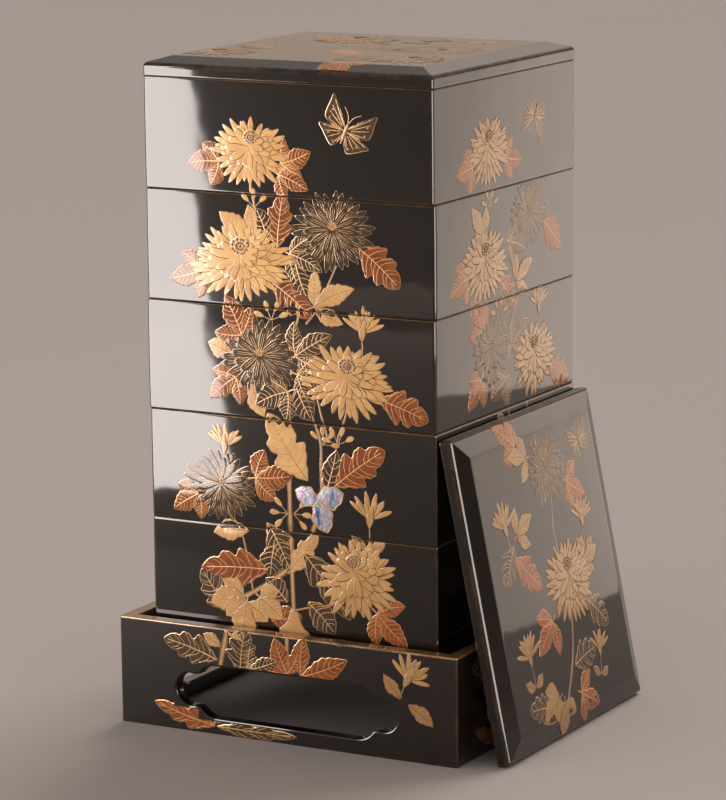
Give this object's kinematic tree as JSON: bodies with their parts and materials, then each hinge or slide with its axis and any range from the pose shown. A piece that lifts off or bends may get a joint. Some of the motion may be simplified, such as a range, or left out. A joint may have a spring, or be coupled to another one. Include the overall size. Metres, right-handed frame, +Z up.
{
  "type": "stacked food box",
  "caption": "Stack of lacquered wooden food trays under a bevelled lid, standing in a stand with cusped side openings, with a matching spare lid leaning against the side.",
  "frame": {"origin": "on the floor, under the middle of the whole set's bounding box, leaning lid included", "axes": "+Z up; -Y out of the front, the wide side of the stack; +X to the right, towards the leaning lid"},
  "size_m": [0.3026, 0.243, 0.4744],
  "materials": {
    "black_lacquer": "polished black lacquer over wood, gold powder on the mouth rims",
    "stand_lacquer": "polished black lacquer over wood, worn gold powder on the top edge",
    "gold_lacquer": "low raised gold-powder lacquer, softly polished",
    "russet_lacquer": "red-brown gold-powder lacquer with fine gold veins",
    "line_lacquer": "fine drawn lines in pale gold lacquer",
    "shell_inlay": "polished mother-of-pearl inlay"
  },
  "bodies": {
    "root": {"stand": "stand_lacquer", "tier_1": "black_lacquer", "tier_2": "black_lacquer", "tier_3": "black_lacquer", "tier_4": "black_lacquer", "tier_5": "black_lacquer", "lid": "black_lacquer", "spare_lid": "black_lacquer"}
  },
  "joints": []
}
